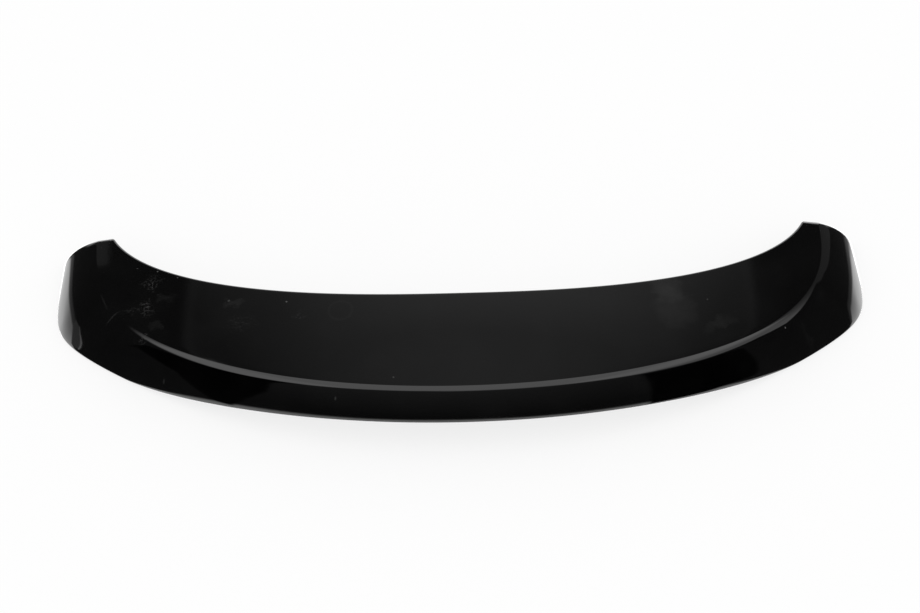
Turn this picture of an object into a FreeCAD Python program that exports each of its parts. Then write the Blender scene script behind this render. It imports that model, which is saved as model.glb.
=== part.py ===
import FreeCAD, Part
import math
import os

# Rear roof spoiler for a car, moulded as one plastic shell and bonded on along its front edge.
# +X runs along the width, +Y to the front of the car and +Z up.
# It stands on the lower edges of its two end cheeks, and the origin is under the middle of its box.

# Plan of the shell, millimetres
overall_depth = 365.0          # rear of the lip to the front of the tips
half_width = 606.0             # middle to the foot of a cheek, at the tips
panel_depth = 166.0            # front edge to crease, at the middle
tip_land = 26.0                # front edge to crease, at the tips
front_run_on = 62.0            # how far ahead of the tips the front edge's curve would end
cheek_reach = 60.0             # crease to foot of a cheek, at the tips
cheek_toe_in = 2.0             # degrees by which the cheeks close towards the tips
lip_reach = 31.0               # crease to lower edge, at the middle
corner_flare = 72.0            # further reach that the lip gains as it turns the corner
side_blend = 6.0               # sharpness of the change from flared corner to straight cheek

# Roundness of the plan curves: 2 is an ellipse, more is squarer
crease_power_across = 2.0
crease_power_along = 2.43
front_power_across = 2.3
front_power_along = 2.1

# Heights
cheek_height = 52.2            # crease above the feet, at the tips
crown_rise_across = 46.6       # from there up to the middle of the width
crown_rise_along = 5.2         # and on up to the crest line
crest_setback = 165.0          # tips to the crest line
rear_arch = 50.0               # rise of the lower edge at the middle of the rear
flat_heading = 45.0            # degrees of turn from which the lower edge lies flat
foot_trim = 0.8                # allowance that the flat cut takes off the cheeks

# Section through the wall
wall = 4.0
crease_radius_rear = 13.0
crease_radius_end = 28.0
lip_bulge_rear = 8.0           # degrees, half of what the lip turns between crease and foot
lip_bulge_end = 25.0
foot_bevel = 1.6               # broken outer edge of the trimmed foot

# Rolled-in tips
tip_roll_radius = 7.0
tip_roll_turn = 78.0           # degrees

# Stations that carry the surfaces
side_stations = 20             # from the middle to one tip
roll_stations = 3
fine_steps = 720               # steps of the crease curve for measuring its length

tip_y = overall_depth / 2
roll_length = tip_roll_radius * math.sin(math.radians(tip_roll_turn))
curve_end_y = tip_y - roll_length
crease_depth = overall_depth - roll_length - lip_reach
crease_half_width = half_width - cheek_reach
front_end_y = curve_end_y + front_run_on
front_depth = crease_depth - panel_depth + front_run_on
tip_share = (1 - (front_run_on / front_depth)**front_power_along)**(1 / front_power_across)
front_half_width = (crease_half_width - tip_land) / tip_share
crest_y = tip_y - crest_setback


# Height of the crowned panel above the feet
def crown(x, y):
    across = 1 - (x / crease_half_width)**2
    along = 1 - ((y - crest_y) / crest_setback)**2
    return cheek_height + crown_rise_across * across + crown_rise_along * along


# Point of the crease curve, its outward direction in plan and its heading, from an angle round the curve
def crease_station(angle):
    turn = math.radians(abs(angle))
    side = math.copysign(1.0, angle)
    across = math.sin(turn)**(2 / crease_power_across)
    along = max(math.cos(turn), 0.0)**(2 / crease_power_along)
    slope_x = crease_power_across / crease_half_width * across**(crease_power_across - 1)
    slope_y = crease_power_along / crease_depth * along**(crease_power_along - 1)
    length = math.hypot(slope_x, slope_y)
    return {
        "x": side * crease_half_width * across,
        "y": curve_end_y - crease_depth * along,
        "out": (side * slope_x / length, -slope_y / length),
        "heading": math.atan2(slope_x, slope_y),
    }


# Stations at even distances along the crease from one tip to the other, with their distance from the middle
def even_stations():
    angles = [90.0 * step / fine_steps for step in range(fine_steps + 1)]
    points = [crease_station(angle) for angle in angles]
    lengths = [0.0]
    for first, last in zip(points, points[1:]):
        lengths.append(lengths[-1] + math.hypot(last["x"] - first["x"], last["y"] - first["y"]))
    right = []
    for number in range(1, side_stations + 1):
        goal = lengths[-1] * number / side_stations
        nearest = min(range(fine_steps + 1), key=lambda step: abs(lengths[step] - goal))
        right.append((angles[nearest], lengths[nearest]))
    row = [(-angle, -length) for angle, length in reversed(right)] + [(0.0, 0.0)] + right
    return [crease_station(angle) for angle, _ in row], [length for _, length in row]


# Distance inward from a crease station to the front edge
def front_distance(station):
    def beyond_front(distance):
        x = abs(station["x"] - distance * station["out"][0])
        back = max(front_end_y - station["y"] + distance * station["out"][1], 0.0)
        share_x = (x / front_half_width)**front_power_across
        share_y = (back / front_depth)**front_power_along
        return share_x + share_y < 1

    near, far = 0.0, crease_depth
    for _ in range(60):
        middle = (near + far) / 2
        if beyond_front(middle):
            far = middle
        else:
            near = middle
    return near


# Reach of the lip from its crease station to the foot
def foot_distance(station):
    out_x, out_y = abs(station["out"][0]), station["out"][1]
    toe = math.tan(math.radians(cheek_toe_in))
    flared = lip_reach + corner_flare * math.sin(station["heading"])**4
    closing = out_x + toe * out_y
    if closing <= 0.05:
        return flared
    to_side = (half_width + toe * (tip_y - station["y"]) - abs(station["x"])) / closing
    return (flared**-side_blend + to_side**-side_blend)**(-1 / side_blend)


# Height of the lower edge, which arches over the rear and runs level along the cheeks
def foot_height(station):
    share = min(math.degrees(station["heading"]) / flat_heading, 1.0)
    return (rear_arch + foot_trim) * math.cos(share * math.pi / 2)**2 - foot_trim


# Value that goes from the rear to the ends with the heading
def along_heading(station, rear, end):
    return rear + (end - rear) * math.sin(station["heading"])**2


# Point at a radius from a centre, its angle measured from straight up towards the outside
def around(centre, radius, angle):
    return (centre[0] + radius * math.sin(angle), centre[1] + radius * math.cos(angle))


# Start, tangent corner and end of an arc
def arc_points(centre, radius, first, last):
    half = (last - first) / 2
    return [
        around(centre, radius, first),
        around(centre, radius / math.cos(half), first + half),
        around(centre, radius, last),
    ]


# Wall at a station with its outer skin set in by inset: the strips round its outline in turn,
# each as the points that its curve starts at, bends towards and ends at
def wall_section(station, inset=0.0):
    x, y = station["x"], station["y"]
    out_x, out_y = station["out"]

    # Crown of the panel along the station's line: point and fall
    def panel(s):
        return (s, crown(x + s * out_x, y + s * out_y))

    def fall(s):
        rise_x = -2 * crown_rise_across * (x + s * out_x) / crease_half_width**2
        rise_y = -2 * crown_rise_along * (y + s * out_y - crest_y) / crest_setback**2
        return -math.atan(rise_x * out_x + rise_y * out_y)

    crease = panel(0.0)
    crease_fall = fall(0.0)
    crease_radius = along_heading(station, crease_radius_rear, crease_radius_end)
    crease_centre = around(crease, -crease_radius, crease_fall)
    bulge = math.radians(along_heading(station, lip_bulge_rear, lip_bulge_end))
    foot = (foot_distance(station), foot_height(station))

    # Angle at which the crease round runs into the lip, so that the lip bulges by the set turn
    lip_start = crease_fall
    for _ in range(40):
        start = around(crease_centre, crease_radius, lip_start)
        lip_start = math.atan2(start[1] - foot[1], foot[0] - start[0]) - bulge
    start = around(crease_centre, crease_radius, lip_start)
    chord = math.hypot(start[1] - foot[1], foot[0] - start[0])
    lip_radius = chord / (2 * math.sin(bulge))
    lip_centre = around(start, -lip_radius, lip_start)

    outer_radius = lip_radius - inset
    inner_radius = outer_radius - wall
    bevel_end = math.acos((foot[1] + foot_bevel - lip_centre[1]) / outer_radius)
    outer_end = math.acos((foot[1] - lip_centre[1]) / outer_radius)
    inner_end = math.acos((foot[1] - lip_centre[1]) / inner_radius)
    bevel_foot = (around(lip_centre, outer_radius, outer_end)[0] - foot_bevel, foot[1])

    front = -front_distance(station)
    bend = (front / 2, crease[1] - math.tan(crease_fall) * front / 2)

    def panel_points(depth):
        return [
            around(panel(front), -depth, fall(front)),
            around(bend, -depth, fall(front / 2)),
            around(crease, -depth, crease_fall),
        ]

    inner = inset + wall
    outer_panel = panel_points(inset)
    outer_crease = arc_points(crease_centre, crease_radius - inset, crease_fall, lip_start)
    outer_lip = arc_points(lip_centre, outer_radius, lip_start, bevel_end)
    inner_lip = arc_points(lip_centre, inner_radius, inner_end, lip_start)
    inner_crease = arc_points(crease_centre, crease_radius - inner, lip_start, crease_fall)
    inner_panel = panel_points(inner)[::-1]
    strips = [
        outer_panel,
        outer_crease,
        outer_lip,
        [outer_lip[-1], bevel_foot],
        [bevel_foot, inner_lip[0]],
        inner_lip,
        inner_crease,
        inner_panel,
        [inner_panel[-1], outer_panel[0]],
    ]
    return [[FreeCAD.Vector(x + s * out_x, y + s * out_y, z) for s, z in strip] for strip in strips]


# Smooth curve along the shell, through one point of each station
def long_curve(points, distances):
    curve = Part.BSplineCurve()
    curve.interpolate(Points=points, Parameters=distances)
    return curve


# Faces along a row of sections, one for each strip of the wall
def skin(sections, distances):
    faces = []
    for strip in zip(*sections):
        curves = [long_curve(list(points), distances) for points in zip(*strip)]
        degree = len(curves) - 1
        along = curves[0]
        surface = Part.BSplineSurface()
        surface.buildFromPolesMultsKnots(
            [curve.getPoles() for curve in curves],
            [degree + 1, degree + 1], along.getMultiplicities(),
            [0.0, 1.0], along.getKnots(),
            False, False, degree, along.Degree)
        faces.append(surface.toShape())
    return faces


# Sections of one tip's rolled end, from the last station forward, with the angle turned at each
def tip_roll(station):
    sections = []
    turns = []
    for step in range(roll_stations + 1):
        turn = math.radians(tip_roll_turn * step / roll_stations)
        forward = dict(station, y=station["y"] + tip_roll_radius * math.sin(turn))
        sections.append(wall_section(forward, tip_roll_radius * (1 - math.cos(turn))))
        turns.append(turn)
    return sections, turns


# Flat face that closes the wall at the front of a tip
def tip_cap(section):
    edges = []
    for strip in section:
        curve = Part.BezierCurve()
        curve.setPoles(strip)
        edges.append(curve.toShape())
    return Part.Face(Part.Wire(edges))


stations, distances = even_stations()
faces = skin([wall_section(station) for station in stations], distances)
for station in (stations[0], stations[-1]):
    sections, turns = tip_roll(station)
    faces += skin(sections, turns)
    faces.append(tip_cap(sections[-1]))
closed = Part.Shell(faces)
closed.sewShape()
moulding = Part.Solid(closed)
if moulding.Volume < 0:
    moulding.reverse()

# The cheeks are trimmed to one plane, on which the shell stands
span = 2 * (half_width + overall_depth)
waste = Part.makeBox(span, span, wall, FreeCAD.Vector(-span / 2, -span / 2, -wall))
shell = moulding.cut(waste).Solids[0]

os.makedirs("parts", exist_ok=True)
shell.exportStep("parts/spoiler_shell.step")
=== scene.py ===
import bpy
import bmesh
import math
from mathutils import Matrix, Vector


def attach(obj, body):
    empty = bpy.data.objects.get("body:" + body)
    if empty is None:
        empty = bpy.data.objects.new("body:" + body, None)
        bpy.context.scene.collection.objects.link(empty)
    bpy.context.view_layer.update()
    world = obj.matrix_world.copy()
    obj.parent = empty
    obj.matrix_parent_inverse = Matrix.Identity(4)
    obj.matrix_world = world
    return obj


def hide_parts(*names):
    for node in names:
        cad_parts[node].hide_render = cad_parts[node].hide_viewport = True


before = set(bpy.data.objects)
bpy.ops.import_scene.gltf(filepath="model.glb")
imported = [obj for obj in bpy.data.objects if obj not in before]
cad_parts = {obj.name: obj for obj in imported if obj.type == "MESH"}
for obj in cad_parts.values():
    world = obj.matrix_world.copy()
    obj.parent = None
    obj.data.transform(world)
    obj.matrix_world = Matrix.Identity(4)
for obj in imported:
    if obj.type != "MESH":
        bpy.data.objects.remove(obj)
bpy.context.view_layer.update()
print("frame loaded:", sorted(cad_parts))

degree = math.pi / 180
quarterTurn = math.pi / 2
pureWhite = (1.0, 1.0, 1.0, 1.0)


# a socket in a node tree: arithmetic on it adds Math nodes
class Wire:
    def __init__(self, graph, socket):
        self.graph = graph
        self.socket = socket

    def of(self, name):  # another output of the same node
        return Wire(self.graph, self.socket.node.outputs[name])

    def __add__(self, other):
        return self.graph.math("ADD", self, other)

    def __radd__(self, other):
        return self.graph.math("ADD", other, self)

    def __sub__(self, other):
        return self.graph.math("SUBTRACT", self, other)

    def __rsub__(self, other):
        return self.graph.math("SUBTRACT", other, self)

    def __mul__(self, other):
        return self.graph.math("MULTIPLY", self, other)

    def __rmul__(self, other):
        return self.graph.math("MULTIPLY", other, self)

    def __truediv__(self, other):
        return self.graph.math("DIVIDE", self, other)

    def __rtruediv__(self, other):
        return self.graph.math("DIVIDE", other, self)

    def __pow__(self, other):
        return self.graph.math("POWER", self, other)

    def __neg__(self):
        return self.graph.math("MULTIPLY", self, -1.0)

    def __abs__(self):
        return self.graph.math("ABSOLUTE", self)


class Graph:
    def __init__(self, tree):
        self.tree = tree

    # kind of node, settings made first, then values or wires for its sockets
    def node(self, kind, settings=None, inputs=None, out=0):
        made = self.tree.nodes.new(kind)
        for name, value in (settings or {}).items():
            setattr(made, name, value)
        for name, value in (inputs or {}).items():
            if isinstance(value, Wire):
                self.tree.links.new(value.socket, made.inputs[name])
            else:
                made.inputs[name].default_value = value
        return Wire(self, made.outputs[out]) if made.outputs else made

    def math(self, operation, *terms):
        return self.node("ShaderNodeMath", {"operation": operation}, dict(enumerate(terms)))


def smaller(a, b):
    return a.graph.math("MINIMUM", a, b)


def larger(a, b):
    return a.graph.math("MAXIMUM", a, b)


def below(a, b):
    return a.graph.math("LESS_THAN", a, b)


def sine(a):
    return a.graph.math("SINE", a)


def cosine(a):
    return a.graph.math("COSINE", a)


def turnOf(rise, run):
    return rise.graph.math("ARCTAN2", rise, run)


def distance(a, b):
    return a.graph.math("SQRT", a * a + b * b)


def unit(a):
    return smaller(larger(a, 0.0), 1.0)


def between(a, b, share):
    return a + (b - a) * share


def ramped(a, low, high):
    return unit((a - low) / (high - low))


def soft(a, edge, width):  # 0 below the edge, 1 above it, with a rounded change as wide as given
    share = unit((a - edge) / width + 0.5)
    return share * share * (3 - 2 * share)


def inBand(a, low, high, lowBlur, highBlur):  # 1 between two soft edges
    return soft(a, low, lowBlur) * (1 - soft(a, high, highBlur))


# the shell: one wall that runs over the panel, round the crease and down the lip
shellSizes = {  # metres and degrees, as in the part's source
    "Overall Depth": 0.365, "Half Width": 0.606, "Panel Depth": 0.166, "Tip Land": 0.026,
    "Front Run On": 0.062, "Cheek Reach": 0.060, "Cheek Toe In": 2.0, "Lip Reach": 0.031,
    "Corner Flare": 0.072, "Flare Power": 4.0, "Side Blend": 6.0,
    "Crease Power Across": 2.0, "Crease Power Along": 2.43,
    "Front Power Across": 2.3, "Front Power Along": 2.1,
    "Cheek Height": 0.0522, "Crown Rise Across": 0.0466, "Crown Rise Along": 0.0052, "Crest Setback": 0.165,
    "Rear Arch": 0.050, "Flat Heading": 45.0, "Foot Trim": 0.0008,
    "Wall": 0.004, "Crease Radius Rear": 0.013, "Crease Radius End": 0.028,
    "Lip Bulge Rear": 8.0, "Lip Bulge End": 25.0,
    "Tip Roll Radius": 0.007, "Tip Roll Turn": 78.0,
    "Edge Round": 0.003,  # moulded round along the front edge and the foot
    "Inset": 0.0003,  # keeps the fine mesh just inside the part's faceted box
    "Least Closing": 0.05,  # keeps the rear, which never meets the cheek's plane, from dividing by zero
    "Panel Crowding": 1.3,  # draws the panel's rows together towards the front edge
    "Weld": 0.00001, "Sharp Angle": 40.0,
}
shellSteps = {
    "Half Steps": 176, "Roll Steps": 8,  # along the shell
    "Panel Steps": 26, "Crease Steps": 16, "Lip Steps": 26, "Edge Steps": 6,  # round its wall
}


def shellTree():
    tree = bpy.data.node_groups.new("shellTree", "GeometryNodeTree")
    for name, value in shellSizes.items():
        tree.interface.new_socket(name, in_out="INPUT", socket_type="NodeSocketFloat").default_value = value
    for name, value in shellSteps.items():
        tree.interface.new_socket(name, in_out="INPUT", socket_type="NodeSocketInt").default_value = value
    tree.interface.new_socket("Finish", in_out="INPUT", socket_type="NodeSocketMaterial")
    tree.interface.new_socket("Shell", in_out="OUTPUT", socket_type="NodeSocketGeometry")
    g = Graph(tree)
    given = g.node("NodeGroupInput")
    size = {name: given.of(name) for name in [*shellSizes, *shellSteps]}

    # the plan, from the driving sizes
    rollTurn = size["Tip Roll Turn"] * degree
    tipY = size["Overall Depth"] / 2
    rollLength = size["Tip Roll Radius"] * sine(rollTurn)
    curveEndY = tipY - rollLength
    creaseDepth = size["Overall Depth"] - rollLength - size["Lip Reach"]
    creaseHalf = size["Half Width"] - size["Cheek Reach"]
    frontEndY = curveEndY + size["Front Run On"]
    frontDepth = creaseDepth - size["Panel Depth"] + size["Front Run On"]
    tipBack = (size["Front Run On"] / frontDepth) ** size["Front Power Along"]
    tipShare = (1 - tipBack) ** (1 / size["Front Power Across"])
    frontHalf = (creaseHalf - size["Tip Land"]) / tipShare
    crestY = tipY - size["Crest Setback"]

    # a grid of stations along the shell and points round its wall
    section = size["Panel Steps"] + size["Crease Steps"] + size["Lip Steps"]
    columns = (size["Half Steps"] + size["Roll Steps"] + 1) * 2
    rows = section * 2 + 2
    grid = g.node("GeometryNodeMeshGrid", None, {
        "Size X": 1.0, "Size Y": 1.0, "Vertices X": columns + 1, "Vertices Y": rows + 1})
    spot = g.node("ShaderNodeSeparateXYZ", None, {0: g.node("GeometryNodeInputPosition")})
    column = g.math("ROUND", spot * columns)
    row = g.math("ROUND", (spot.of("Y") + 0.5) * rows)
    side = g.math("SIGN", column)
    inner = below(section + 0.5, row) * below(row, rows - 0.5)
    step = larger(between(row, rows - 1 - row, inner), 0.0)
    step = step * below(row, rows - 0.5)  # the last row closes on the first

    # where a station stands: along the crease, in the rolled tip, or in its cap
    turned = unit(abs(column) / size["Half Steps"]) * quarterTurn
    rolled = unit((abs(column) - size["Half Steps"]) / size["Roll Steps"]) * rollTurn
    capped = unit(abs(column) - size["Half Steps"] - size["Roll Steps"])
    forward = size["Tip Roll Radius"] * sine(rolled)
    sunk = size["Tip Roll Radius"] * (1 - cosine(rolled)) + size["Inset"]
    depth = sunk + (size["Wall"] - size["Inset"]) * between(inner, 0.5, capped)

    # the outer edges are rounded: distance of a row from the edge, and how far it lies below the face
    def edgeRound(steps):
        turn = unit(steps / size["Edge Steps"]) * quarterTurn
        return size["Edge Round"] * (1 - cosine(turn)), size["Edge Round"] * (1 - sine(turn))

    frontRun, frontDrop = edgeRound(step)
    footRun, footDrop = edgeRound(section - step)
    depth = depth + (frontDrop + footDrop) * (1 - inner) * (1 - capped)

    # crease station, its outward direction and heading
    across = sine(turned) ** (2 / size["Crease Power Across"])
    along = larger(cosine(turned), 0.0) ** (2 / size["Crease Power Along"])
    slopeX = size["Crease Power Across"] / creaseHalf * across ** (size["Crease Power Across"] - 1)
    slopeY = size["Crease Power Along"] / creaseDepth * along ** (size["Crease Power Along"] - 1)
    slope = distance(slopeX, slopeY)
    outX, outY = slopeX / slope, -slopeY / slope
    heading = turnOf(slopeX, slopeY)
    creaseX = creaseHalf * across
    creaseY = curveEndY - creaseDepth * along + forward

    # front edge beside it
    frontAhead = (size["Front Run On"] - forward) / frontDepth
    frontTurn = g.math("ARCCOSINE", frontAhead ** (size["Front Power Along"] / 2))
    frontTurn = frontTurn * turned / quarterTurn
    frontX = frontHalf * sine(frontTurn) ** (2 / size["Front Power Across"])
    frontY = frontEndY - frontDepth * cosine(frontTurn) ** (2 / size["Front Power Along"])

    # foot of the lip
    toe = g.math("TANGENT", size["Cheek Toe In"] * degree)
    flared = size["Lip Reach"] + size["Corner Flare"] * sine(heading) ** size["Flare Power"]
    closing = larger(outX + toe * outY, size["Least Closing"])
    toSide = (size["Half Width"] + toe * (tipY - creaseY) - creaseX) / closing
    blend = size["Side Blend"]
    reach = (flared ** -blend + toSide ** -blend) ** (-1 / blend)
    level = cosine(smaller(heading / (size["Flat Heading"] * degree), 1.0) * quarterTurn)
    footZ = larger((size["Rear Arch"] + size["Foot Trim"]) * level * level - size["Foot Trim"], 0.0)

    def crown(x, y):
        widthShare = x / creaseHalf
        depthShare = (y - crestY) / size["Crest Setback"]
        return (size["Cheek Height"] + size["Crown Rise Across"] * (1 - widthShare * widthShare)
                + size["Crown Rise Along"] * (1 - depthShare * depthShare))

    def fall(x, y):  # angle at which the crown drops outwards
        setback = size["Crest Setback"]
        dropX = 2 * size["Crown Rise Across"] * x * outX / (creaseHalf * creaseHalf)
        dropY = 2 * size["Crown Rise Along"] * (y - crestY) * outY / (setback * setback)
        return g.math("ARCTANGENT", dropX + dropY)

    # crease round and lip in the station's own plane
    endShare = sine(heading) * sine(heading)
    bulge = between(size["Lip Bulge Rear"], size["Lip Bulge End"], endShare) * degree
    creaseRadius = between(size["Crease Radius Rear"], size["Crease Radius End"], endShare)
    creaseFall = fall(creaseX, creaseY)
    creaseS = -creaseRadius * sine(creaseFall)
    creaseZ = crown(creaseX, creaseY) - creaseRadius * cosine(creaseFall)
    footOut, footUp = reach - creaseS, footZ - creaseZ
    footFar = distance(footOut, footUp)
    lipTurn = g.math("ARCSINE", creaseRadius * cosine(bulge) / footFar) - turnOf(footUp, footOut) - bulge
    startS = creaseS + creaseRadius * sine(lipTurn)
    startZ = creaseZ + creaseRadius * cosine(lipTurn)
    chord = distance(reach - startS, startZ - footZ)
    lipRadius = chord / (2 * sine(bulge))
    lipS = startS - lipRadius * sine(lipTurn)
    lipZ = startZ - lipRadius * cosine(lipTurn)

    # a point of the wall on the panel, the crease round or the lip
    panelWide = distance(creaseX - frontX, creaseY - frontY)
    panelRest = unit((step - size["Edge Steps"]) / (size["Panel Steps"] - size["Edge Steps"]))
    panelRun = (panelWide - size["Edge Round"]) * panelRest ** size["Panel Crowding"]
    panelShare = (frontRun + panelRun) / panelWide
    panelX, panelY = between(frontX, creaseX, panelShare), between(frontY, creaseY, panelShare)
    panelFall = fall(panelX, panelY)
    panelIn = depth * sine(panelFall)
    roundShare = unit((step - size["Panel Steps"]) / size["Crease Steps"])
    roundTurn = between(creaseFall, lipTurn, roundShare)
    roundDeep, lipDeep = creaseRadius - depth, lipRadius - depth
    lipStep = step - size["Panel Steps"] - size["Crease Steps"]
    lipShare = unit(lipStep / (size["Lip Steps"] - size["Edge Steps"]))
    lipEnd = g.math("ARCCOSINE", (footZ - lipZ) / lipDeep) - footRun / lipRadius
    lipPoint = between(lipTurn, lipEnd, lipShare)
    onLip = below(size["Panel Steps"] + size["Crease Steps"] + 0.5, step)
    onPanel = below(step, size["Panel Steps"] + 0.5)
    wallS = between(creaseS + roundDeep * sine(roundTurn), lipS + lipDeep * sine(lipPoint), onLip)
    wallZ = between(creaseZ + roundDeep * cosine(roundTurn), lipZ + lipDeep * cosine(lipPoint), onLip)
    pointX = between(creaseX + wallS * outX, panelX - panelIn * outX, onPanel)
    pointY = between(creaseY + wallS * outY, panelY - panelIn * outY, onPanel)
    pointZ = between(wallZ, crown(panelX, panelY) - depth * cosine(panelFall), onPanel)
    place = g.node("ShaderNodeCombineXYZ", None, {
        "X": pointX * side, "Y": pointY, "Z": larger(pointZ, 0.0)})

    sided = g.node("GeometryNodeStoreNamedAttribute", {"data_type": "FLOAT", "domain": "POINT"},
                   {"Geometry": grid, "Name": "underside", "Value": inner})
    shaped = g.node("GeometryNodeSetPosition", None, {"Geometry": sided, "Position": place})
    closed = g.node("GeometryNodeMergeByDistance", None, {"Geometry": shaped, "Distance": size["Weld"]})
    facing = g.node("GeometryNodeFlipFaces", None, {"Mesh": closed})
    smoothed = g.node("GeometryNodeSetShadeSmooth", None, {"Geometry": facing})
    sharp = below(size["Sharp Angle"] * degree, g.node("GeometryNodeInputMeshEdgeAngle"))
    edged = g.node("GeometryNodeSetShadeSmooth", {"domain": "EDGE"},
                   {"Geometry": smoothed, "Selection": sharp, "Shade Smooth": False})
    real = g.node("GeometryNodeRealizeInstances", None, {"Geometry": edged})
    finished = g.node("GeometryNodeSetMaterial", None, {"Geometry": real, "Material": given.of("Finish")})
    g.node("NodeGroupOutput", None, {"Shell": finished})
    return tree


def makeShell(finish):
    tree = shellTree()
    shell = bpy.data.objects.new("spoilerShell", bpy.data.meshes.new("spoilerShell"))
    bpy.context.scene.collection.objects.link(shell)
    grown = shell.modifiers.new("grown", "NODES")
    grown.node_group = tree
    ids = {item.name: item.identifier for item in tree.interface.items_tree if item.in_out == "INPUT"}
    for name, value in {**shellSizes, **shellSteps}.items():
        grown[ids[name]] = value
    grown[ids["Finish"]] = finish
    bpy.context.view_layer.update()
    plain = bpy.data.meshes.new_from_object(shell.evaluated_get(bpy.context.evaluated_depsgraph_get()))
    shell.modifiers.clear()
    shell.data = plain
    plain.name = "spoilerShell"
    print("shell grown:", len(plain.polygons), "faces")
    return shell


# black moulded gloss with a faint ripple, under dust, finger marks and scratches; its underside is satin
glossLooks = {
    "base": (0.0006, 0.0006, 0.00065, 1.0), "roughness": 0.04, "index": 1.5,
    "dirt": (0.50, 0.50, 0.49, 1.0), "dulling": 6.0, "mostDull": 0.30,
    "marksFrom": 0.1, "marksTo": 0.5,  # marks and dust lie on what faces up
    "bumpStrength": 0.02, "bumpHeight": 0.0004,
}
satinLooks = {"base": (0.011, 0.011, 0.0115, 1.0), "roughness": 0.42}
rippleLooks = {"scale": 160.0, "detail": 1.0}
grainLooks = {"scale": 1400.0, "detail": 1.0}
filmLooks = {"scale": 16.0, "detail": 4.0, "from": 0.46, "to": 0.78, "haze": 0.0012}
dustLooks = {
    "scale": 85.0, "few": 0.05, "many": 0.34, "manyFrom": 0.34, "manyTo": 0.50,
    "size": 0.055, "least": 0.4, "haze": 0.035,
}
breakUp = {"scale": 340.0, "detail": 2.0, "from": 0.50, "to": 0.64, "most": 2.6}
waver = {"scale": 75.0, "detail": 3.0, "middle": 0.5, "most": 0.034}
ringMark = {"x": -0.176, "y": -0.010, "radius": 0.017, "wide": 0.006, "haze": 0.0025}
# places on the shell in plan and sizes in metres, turn in degrees
smears = [
    {"x": -0.433, "y": 0.043, "long": 0.034, "wide": 0.020, "turn": -22.0, "haze": 0.0036},
    {"x": -0.445, "y": -0.008, "long": 0.036, "wide": 0.019, "turn": -28.0, "haze": 0.0036},
    {"x": -0.333, "y": 0.020, "long": 0.038, "wide": 0.019, "turn": 4.0, "haze": 0.0060},
    {"x": 0.300, "y": 0.022, "long": 0.056, "wide": 0.060, "turn": 0.0, "haze": 0.0085},
    {"x": 0.307, "y": -0.015, "long": 0.074, "wide": 0.084, "turn": 0.0, "haze": 0.0055},
    {"x": 0.368, "y": -0.038, "long": 0.066, "wide": 0.027, "turn": 32.0, "haze": 0.0044},
    {"x": 0.505, "y": -0.030, "long": 0.036, "wide": 0.012, "turn": -50.0, "haze": 0.0018},
]
fingerMarks = [
    {"x": -0.460, "y": 0.026, "long": 0.024, "wide": 0.036, "turn": 0.0, "haze": 0.0070},
    {"x": -0.456, "y": 0.074, "long": 0.036, "wide": 0.034, "turn": 0.0, "haze": 0.0085},
    {"x": -0.484, "y": 0.025, "long": 0.020, "wide": 0.014, "turn": 0.0, "haze": 0.0040},
    {"x": -0.461, "y": -0.026, "long": 0.018, "wide": 0.014, "turn": 0.0, "haze": 0.0090},
    {"x": -0.322, "y": -0.018, "long": 0.044, "wide": 0.036, "turn": 0.0, "haze": 0.0028},
    {"x": -0.236, "y": -0.014, "long": 0.026, "wide": 0.012, "turn": 0.0, "haze": 0.0040},
]
scratches = [
    {"x": -0.526, "y": 0.051, "long": 0.040, "wide": 0.0028, "turn": -68.0, "haze": 0.0065},
    {"x": -0.511, "y": 0.020, "long": 0.028, "wide": 0.0024, "turn": 36.0, "haze": 0.0150},
    {"x": -0.489, "y": 0.027, "long": 0.030, "wide": 0.0024, "turn": -2.0, "haze": 0.0035},
    {"x": -0.462, "y": 0.0355, "long": 0.013, "wide": 0.0032, "turn": 0.0, "haze": 0.0150},
    {"x": -0.459, "y": 0.0290, "long": 0.011, "wide": 0.0030, "turn": 6.0, "haze": 0.0240},
    {"x": -0.457, "y": 0.0215, "long": 0.012, "wide": 0.0030, "turn": -4.0, "haze": 0.0110},
]
specks = [
    {"x": -0.480, "y": 0.108, "size": 0.0028, "haze": 0.030},
    {"x": -0.449, "y": 0.097, "size": 0.0030, "haze": 0.060},
    {"x": -0.418, "y": 0.080, "size": 0.0030, "haze": 0.040},
    {"x": -0.339, "y": 0.024, "size": 0.0046, "haze": 0.030},
    {"x": -0.2545, "y": 0.013, "size": 0.0040, "haze": 0.050},
    {"x": -0.101, "y": -0.134, "size": 0.0038, "haze": 0.030},
    {"x": 0.356, "y": 0.005, "size": 0.0036, "haze": 0.025},
    {"x": 0.467, "y": -0.034, "size": 0.0024, "haze": 0.090},
    {"x": -0.433, "y": -0.079, "size": 0.0032, "haze": 0.030},
    {"x": -0.183, "y": -0.153, "size": 0.0036, "haze": 0.020},
]


def newFinish(name):
    finish = bpy.data.materials.new(name)
    finish.use_nodes = True
    finish.node_tree.nodes.clear()
    return finish, Graph(finish.node_tree)


def noise(place, looks):
    return place.graph.node("ShaderNodeTexNoise", None, {
        "Vector": place, "Scale": looks["scale"], "Detail": looks["detail"]})


def mixColour(share, first, second):  # sockets 6 and 7 are the colours, output 2 is their mix
    return share.graph.node("ShaderNodeMix", {"data_type": "RGBA"}, {0: share, 6: first, 7: second}, out=2)


def ovalMark(x, y, mark):  # 1 at its middle, falling to 0 at its edge
    turn = math.radians(mark["turn"])
    alongIt = ((x - mark["x"]) * math.cos(turn) + (y - mark["y"]) * math.sin(turn)) / (mark["long"] / 2)
    acrossIt = ((y - mark["y"]) * math.cos(turn) - (x - mark["x"]) * math.sin(turn)) / (mark["wide"] / 2)
    return larger(1 - alongIt * alongIt - acrossIt * acrossIt, 0.0)


def roundMark(x, y, speck):
    return ovalMark(x, y, {**speck, "long": speck["size"], "wide": speck["size"], "turn": 0.0})


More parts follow.
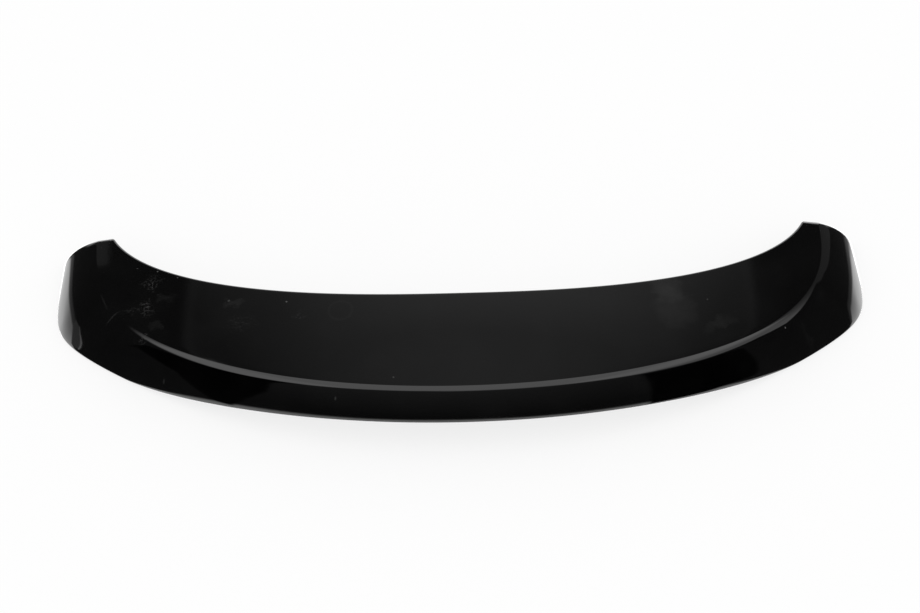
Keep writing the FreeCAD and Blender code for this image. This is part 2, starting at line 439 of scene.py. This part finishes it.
def glossBlack():
    finish, g = newFinish("glossBlack")
    coordinates = g.node("ShaderNodeTexCoord")
    place = coordinates.of("Object")
    x = g.node("ShaderNodeSeparateXYZ", None, {0: place})
    y = x.of("Y")
    facing = g.node("ShaderNodeSeparateXYZ", None, {0: coordinates.of("Normal")})
    upward = ramped(facing.of("Z"), glossLooks["marksFrom"], glossLooks["marksTo"])
    underside = g.node("ShaderNodeAttribute", {"attribute_name": "underside"}).of("Fac")

    # haze of old polish over everything
    haze = filmLooks["haze"] * ramped(noise(place, filmLooks), filmLooks["from"], filmLooks["to"])

    # marks from handling; those of fingers are broken up finely
    broken = breakUp["most"] * ramped(noise(place, breakUp), breakUp["from"], breakUp["to"])
    drift = g.node("ShaderNodeSeparateColor", None, {0: noise(place, waver).of("Color")})
    nearX = x + (drift - waver["middle"]) * waver["most"]
    nearY = y + (drift.of("Green") - waver["middle"]) * waver["most"]
    fingers = sum(mark["haze"] * ovalMark(nearX, nearY, mark) for mark in fingerMarks) * broken
    offRing = abs(distance(x - ringMark["x"], y - ringMark["y"]) - ringMark["radius"])
    ring = ringMark["haze"] * larger(1 - offRing / (ringMark["wide"] / 2), 0.0)
    plain = sum(mark["haze"] * ovalMark(x, y, mark) for mark in scratches)
    plain = plain + sum(mark["haze"] * ovalMark(nearX, nearY, mark) for mark in smears)
    spots = sum(speck["haze"] * roundMark(x, y, speck) for speck in specks)
    haze = haze + (fingers + ring + plain + spots) * upward

    # dust, thickest on the left-hand end
    cell = g.node("ShaderNodeTexVoronoi", None, {"Vector": place, "Scale": dustLooks["scale"]})
    chance = g.node("ShaderNodeSeparateColor", None, {0: cell.of("Color")})
    leftward = ramped(-x, dustLooks["manyFrom"], dustLooks["manyTo"])
    many = between(dustLooks["few"], dustLooks["many"], leftward)
    grit = 1 - unit(cell / (dustLooks["size"] * (dustLooks["least"] + chance.of("Green"))))
    haze = haze + dustLooks["haze"] * grit * below(chance, many) * upward

    dirtShare = smaller(haze / glossLooks["dirt"][0], 1.0)
    dirty = mixColour(dirtShare, glossLooks["base"], glossLooks["dirt"])
    colour = mixColour(underside, dirty, satinLooks["base"])
    dull = glossLooks["roughness"] + smaller(haze * glossLooks["dulling"], glossLooks["mostDull"])
    roughness = between(dull, satinLooks["roughness"], underside)
    bump = g.node("ShaderNodeBump", None, {
        "Strength": glossLooks["bumpStrength"], "Distance": glossLooks["bumpHeight"],
        "Height": between(noise(place, rippleLooks), noise(place, grainLooks), underside)})
    plastic = g.node("ShaderNodeBsdfPrincipled", None, {
        "Base Color": colour, "Roughness": roughness, "IOR": glossLooks["index"], "Normal": bump})
    g.node("ShaderNodeOutputMaterial", None, {"Surface": plastic})
    return finish


shell = makeShell(glossBlack())
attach(shell, "root")
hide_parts("spoiler_shell")

# the photograph's viewpoint, metres and degrees, with lens and sensor in millimetres
viewpoint = {"elevation": 50.0, "yaw": -1.40, "roll": -0.42, "distance": 2.930,
             "aim": (-0.00318, 0.0235, 0.060), "lens": 78.26, "sensor": 36.0}


def makeCamera():
    rise, yaw, roll = (math.radians(viewpoint[k]) for k in ("elevation", "yaw", "roll"))
    back = Vector((math.sin(yaw) * math.cos(rise), -math.cos(yaw) * math.cos(rise), math.sin(rise)))
    level = Vector((math.cos(yaw), math.sin(yaw), 0.0))
    upright = back.cross(level)
    right = level * math.cos(roll) + upright * math.sin(roll)
    up = back.cross(right)
    camera = bpy.data.objects.new("camera", bpy.data.cameras.new("camera"))
    bpy.context.scene.collection.objects.link(camera)
    camera.data.lens = viewpoint["lens"]
    camera.data.sensor_width = viewpoint["sensor"]
    place = Vector(viewpoint["aim"]) + back * viewpoint["distance"]
    camera.matrix_world = Matrix((
        (right.x, up.x, back.x, place.x), (right.y, up.y, back.y, place.y),
        (right.z, up.z, back.z, place.z), (0, 0, 0, 1)))
    bpy.context.scene.camera = camera
    print("camera set")


makeCamera()

# white floor that keeps the shell's soft shadow
floorLooks = {"side": 8.0, "drop": 0.0004, "matt": (0.97, 0.97, 0.97, 1.0), "glow": 0.75}


def stageObject(name, mesh, finish):
    mesh.materials.append(finish)
    made = bpy.data.objects.new(name, mesh)
    bpy.context.scene.collection.objects.link(made)
    return made


def makeFloor():
    finish, g = newFinish("floorWhite")
    matt = g.node("ShaderNodeBsdfDiffuse", None, {"Color": floorLooks["matt"]})
    glow = g.node("ShaderNodeEmission", None, {"Color": pureWhite, "Strength": 1.0})
    mixed = g.node("ShaderNodeMixShader", None, {0: floorLooks["glow"], 1: matt, 2: glow})
    g.node("ShaderNodeOutputMaterial", None, {"Surface": mixed})
    half = floorLooks["side"] / 2
    mesh = bpy.data.meshes.new("floor")
    corners = [(x * half, y * half, -floorLooks["drop"]) for x, y in ((-1, -1), (1, -1), (1, 1), (-1, 1))]
    mesh.from_pydata(corners, [], [(0, 1, 2, 3)])
    floor = stageObject("floor", mesh, finish)
    floor.visible_glossy = False  # the tent stands in for it in reflections
    print("floor laid")


# tent of cards round the shell, seen only in its gloss
# heading is in degrees from +Y towards +X, rise in degrees, and a place overhead is its run over its height
tentLooks = {
    "radius": 600.0, "divisions": 4, "white": 2.1,
    "leastHeight": 0.02, "aboveFrom": 12.0, "aboveBlur": 4.0,  # what counts as overhead
}
roomLooks = {"dark": 0.054, "rear": 0.118, "from": 112.0, "to": 170.0, "foot": -10.0, "top": 18.0}


def darkRoom(at):  # a little lighter behind the viewer
    behind = ramped(at["aside"], roomLooks["from"], roomLooks["to"])
    raised = ramped(at["rise"], roomLooks["foot"], roomLooks["top"])
    return roomLooks["dark"] + roomLooks["rear"] * behind * raised


# grey card that the panel mirrors, brighter towards its foot, with light edges
panelCard = {
    "left": -27.1, "right": 31.9, "blur": 1.2, "lean": 0.72, "level": 47.0, "foot": 38.0, "footBlur": 6.0,
    "edge": 0.105, "middle": 0.235, "peak": 3.5, "spread": 28.4,
    "glow": 0.16, "glowLow": 49.0, "glowHigh": 54.0, "glowPeak": 5.0, "glowSpread": 22.4,
    "bead": 0.032, "beadWide": 1.0, "spill": 0.088, "spillWide": 4.0,
}


def addPanelCard(at, shine):
    card, heading = panelCard, at["heading"]
    lean = (at["rise"] - card["level"]) * card["lean"]
    left, right = card["left"] - lean, card["right"] + lean
    raised = soft(at["rise"], card["foot"], card["footBlur"])
    fading = 1 - ramped(heading, right, right + card["spillWide"])
    spill = soft(heading, right, card["blur"]) * fading
    shine = between(shine, card["spill"], spill * raised)
    bow = (heading - card["peak"]) / card["spread"]
    grey = card["edge"] + card["middle"] * larger(1 - bow * bow, 0.0)
    glowBow = (heading - card["glowPeak"]) / card["glowSpread"]
    low = 1 - ramped(at["rise"], card["glowLow"], card["glowHigh"])
    grey = grey + card["glow"] * low * larger(1 - glowBow * glowBow, 0.0)
    inner = inBand(heading, left + card["beadWide"], right - card["beadWide"], card["blur"], card["blur"])
    grey = grey + card["bead"] * (1 - inner)
    return between(shine, grey, inBand(heading, left, right, card["blur"], card["blur"]) * raised)


# white ground beyond the front edge, brightest where the rolled tips mirror it
frontGround = {
    "top": 40.0, "droop": 0.0155, "blur": 5.0, "reach": 40.0, "reachBlur": 6.0,
    "tipWhite": 5.0, "tipFrom": 20.0, "tipTo": 32.0, "tipBlur": 8.0,
}


def addFrontGround(at, shine):
    ground = frontGround
    top = ground["top"] - at["aside"] * at["aside"] * ground["droop"]
    lit = 1 - soft(at["rise"], top, ground["blur"])
    lit = lit * (1 - soft(at["aside"], ground["reach"], ground["reachBlur"]))
    byTips = inBand(at["aside"], ground["tipFrom"], ground["tipTo"], ground["tipBlur"], ground["tipBlur"])
    return between(shine, between(tentLooks["white"], ground["tipWhite"], byTips), lit)


# white ground beside the cheeks, brighter lower down and dimmer ahead, under a faint halo
cheekGround = {
    "abeam": 80.0, "leftTop": 6.0, "rightTop": 1.3, "turnBlur": 2.0, "innerFall": 9.3, "innerPower": 2.4,
    "leftFall": 4.1, "rightFall": 3.6, "from": 33.0, "to": 108.0, "sideBlur": 6.0, "blur": 4.0,
    "halo": 0.28, "haloRise": 6.0, "high": 1.4, "low": 2.9, "lowFrom": 2.0, "lowTo": -14.0,
    "ahead": 0.6, "aheadFrom": 62.0, "aheadTo": 44.0,
}


def addCheekGround(at, shine):
    ground = cheekGround
    rightward = soft(at["heading"], 0.0, ground["turnBlur"])
    inside = larger(ground["abeam"] - at["aside"], 0.0) / ground["innerFall"]
    outerFall = between(ground["leftFall"], ground["rightFall"], rightward)
    outside = larger(at["aside"] - ground["abeam"], 0.0) / outerFall
    top = between(ground["leftTop"], ground["rightTop"], rightward)
    top = top - inside ** ground["innerPower"] - outside * outside
    beside = inBand(at["aside"], ground["from"], ground["to"], ground["sideBlur"], ground["sideBlur"])
    halo = 1 - soft(at["rise"], top + ground["haloRise"], ground["haloRise"])
    shine = larger(shine, ground["halo"] * halo * beside)
    lower = ramped(at["rise"], ground["lowFrom"], ground["lowTo"])
    further = ramped(at["aside"], ground["aheadFrom"], ground["aheadTo"])
    white = between(ground["high"], ground["low"], lower) * between(1.0, ground["ahead"], further)
    return between(shine, white, (1 - soft(at["rise"], top, ground["blur"])) * beside)


# white ground close under the lip
lipGround = {
    "top": -13.0, "behind": 180.0, "fall": 10.6, "power": 1.76, "blur": 3.0, "from": 104.0, "fromBlur": 4.0,
}


def addLipGround(at, shine):
    ground = lipGround
    offBehind = larger(ground["behind"] - at["aside"], 0.0) / ground["fall"]
    lit = 1 - soft(at["rise"], ground["top"] - offBehind ** ground["power"], ground["blur"])
    lit = lit * soft(at["aside"], ground["from"], ground["fromBlur"])
    return between(shine, tentLooks["white"], lit)


# narrow card that lights the crease round the right-hand corner, brighter towards the softbox
rightCard = {
    "level": 1.0, "near": 0.715, "nearLean": 0.37, "blur": 0.05,
    "far": 1.21, "frontFlare": 0.9, "frontFrom": 1.08, "rearFlare": 1.30, "rearFrom": 0.88,
    "rearFar": 1.5, "rear": -0.32,
    "behind": -1.2, "behindBlur": 0.4, "front": 3.2, "frontBlur": 0.3,
    "dim": 0.20, "gain": 0.95, "gainPower": 1.6, "gainFrom": 1.0, "gainWide": 0.8,
}


def addRightCard(at, shine):
    card = rightCard
    near = card["near"] + card["nearLean"] * (at["overY"] - card["level"])
    flare = larger((at["overY"] - card["frontFrom"]) * card["frontFlare"],
                   (card["rearFrom"] - at["overY"]) * card["rearFlare"])
    far = card["far"] + larger(flare, 0.0)
    far = between(card["rearFar"], far, soft(at["overY"], card["rear"], card["blur"]))
    lit = inBand(at["overX"], near, far, card["blur"], card["blur"]) * at["above"]
    lit = lit * inBand(at["overY"], card["behind"], card["front"], card["behindBlur"], card["frontBlur"])
    gain = unit((card["gainFrom"] - at["overY"]) / card["gainWide"]) ** card["gainPower"]
    return between(shine, card["dim"] + card["gain"] * gain, lit)


# narrow card at the left-hand tip
leftCard = {
    "level": 1.25, "near": -0.713, "nearLean": -1.02, "far": -0.646, "farLean": -0.223, "blur": 0.012,
    "rear": 1.19, "rearBlur": 0.02, "front": 2.2, "frontBlur": 0.4, "dim": 0.19,
}


def addLeftCard(at, shine):
    card = leftCard
    ahead = at["overY"] - card["level"]
    near, far = card["near"] + card["nearLean"] * ahead, card["far"] + card["farLean"] * ahead
    lit = inBand(at["overX"], near, far, card["blur"], card["blur"]) * at["above"]
    lit = lit * inBand(at["overY"], card["rear"], card["front"], card["rearBlur"], card["frontBlur"])
    return between(shine, card["dim"], lit)


# bright edge that the left-hand cheek mirrors, fainter towards its top, and the grey before it
leftGleam = {
    "level": -100.9, "lean": 0.547, "bow": 0.034, "wide": 0.8, "foot": -10.0, "top": 13.0, "blur": 1.0,
    "bright": 1.6, "faint": 0.7, "faintFrom": 6.0, "faintTo": 12.0,
    "fill": 0.33, "fillFrom": -78.0, "fillBlur": 8.0,
}


def addLeftGleam(at, shine):
    edge = leftGleam
    line = edge["level"] + at["rise"] * (edge["lean"] + at["rise"] * edge["bow"])
    tall = inBand(at["rise"], edge["foot"], edge["top"], edge["blur"], edge["blur"])
    fill = inBand(at["heading"], line, edge["fillFrom"], edge["blur"], edge["fillBlur"])
    shine = larger(shine, edge["fill"] * fill * tall)
    lit = 1 - soft(abs(at["heading"] - line), edge["wide"] / 2, edge["blur"])
    fading = ramped(at["rise"], edge["faintFrom"], edge["faintTo"])
    return between(shine, between(edge["bright"], edge["faint"], fading), lit * tall)


# softbox overhead, with a bowed front edge and brighter sides
softbox = {
    "corner": -1.42, "cornerLean": -1.43, "cornerBlur": 0.6, "left": -0.98, "leftBlur": 0.30,
    "right": 0.82, "rightBlur": 0.46, "rear": -1.0, "rearBlur": 0.4,
    "front": 0.40, "frontBow": 2.0, "frontMost": 0.63, "frontLean": -0.12, "frontBlur": 0.08,
    "middle": 1.72, "sides": 4.0, "sidesFrom": 0.12, "most": 2.05,
}


def addSoftbox(at, shine):
    box, overX, overY = softbox, at["overX"], at["overY"]
    bow = overX * overX
    front = smaller(box["front"] + box["frontBow"] * bow, box["frontMost"] + box["frontLean"] * overX)
    lit = soft(overX + overY * box["cornerLean"], box["corner"], box["cornerBlur"]) * at["above"]
    lit = lit * inBand(overX, box["left"], box["right"], box["leftBlur"], box["rightBlur"])
    lit = lit * inBand(overY, box["rear"], front, box["rearBlur"], box["frontBlur"])
    bright = box["middle"] + box["sides"] * larger(bow - box["sidesFrom"], 0.0)
    return between(shine, smaller(bright, box["most"]), lit)


# two black flags that the lip mirrors
leftFlag = {
    "rear": -146.0, "rearLean": 0.3, "front": -104.0, "blur": 1.5,
    "steepLean": 1.33, "steepFrom": -117.3, "flatLean": 0.5, "flatFrom": -121.5,
    "foot": -26.0, "footBlur": 2.0, "top": 40.0, "topBlur": 6.0,
}
rightFlag = {
    "front": 121.5, "rear": 147.0, "blur": 1.5,
    "foot": -28.0, "footBlur": 2.0, "top": 20.0, "topBlur": 4.0,
}


def addFlags(at, shine):
    rise = at["rise"]
    steep = rise * leftFlag["steepLean"] + leftFlag["steepFrom"]
    flat = rise * leftFlag["flatLean"] + leftFlag["flatFrom"]
    front = smaller(larger(steep, flat), leftFlag["front"])
    rear = leftFlag["rear"] + larger(-rise, 0.0) * leftFlag["rearLean"]
    for flag, start, end in ((leftFlag, rear, front), (rightFlag, rightFlag["front"], rightFlag["rear"])):
        black = inBand(at["heading"], start, end, flag["blur"], flag["blur"])
        tall = inBand(rise, flag["foot"], flag["top"], flag["footBlur"], flag["topBlur"])
        shine = shine * (1 - black * tall)
    return shine


def tentCards():
    finish, g = newFinish("tentCards")
    spot = g.node("ShaderNodeTexCoord").of("Object")
    aim = g.node("ShaderNodeVectorMath", {"operation": "NORMALIZE"}, {0: spot})
    x = g.node("ShaderNodeSeparateXYZ", None, {0: aim})
    y, z = x.of("Y"), x.of("Z")
    height = larger(z, tentLooks["leastHeight"])
    heading = turnOf(x, y) / degree
    rise = g.math("ARCSINE", z) / degree
    at = {
        "heading": heading, "aside": abs(heading), "rise": rise, "overX": x / height, "overY": y / height,
        "above": soft(rise, tentLooks["aboveFrom"], tentLooks["aboveBlur"]),
    }
    shine = darkRoom(at)
    for addCard in (addPanelCard, addFrontGround, addCheekGround, addLipGround,
                    addRightCard, addLeftCard, addLeftGleam, addSoftbox, addFlags):
        shine = addCard(at, shine)
    glow = g.node("ShaderNodeEmission", None, {"Color": shine, "Strength": 1.0})
    g.node("ShaderNodeOutputMaterial", None, {"Surface": glow})
    finish.cycles.emission_sampling = "NONE"  # it lights nothing, so no lamp samples go to it
    return finish


def makeTent():
    ball = bmesh.new()
    bmesh.ops.create_icosphere(ball, subdivisions=tentLooks["divisions"], radius=tentLooks["radius"])
    mesh = bpy.data.meshes.new("tent")
    ball.to_mesh(mesh)
    ball.free()
    made = stageObject("tent", mesh, tentCards())
    made.visible_camera = False
    made.visible_diffuse = False
    made.visible_transmission = False
    made.visible_volume_scatter = False
    made.visible_shadow = False
    print("tent hung")


def makeWorld():  # even white light from all round
    world = bpy.data.worlds.new("studio")
    bpy.context.scene.world = world
    world.use_nodes = True
    world.node_tree.nodes.clear()
    g = Graph(world.node_tree)
    glow = g.node("ShaderNodeBackground", None, {"Color": pureWhite, "Strength": 1.0})
    g.node("ShaderNodeOutputWorld", None, {"Surface": glow})
    print("world lit")


makeFloor()
makeTent()
makeWorld()
bpy.context.scene.view_settings.view_transform = "Standard"
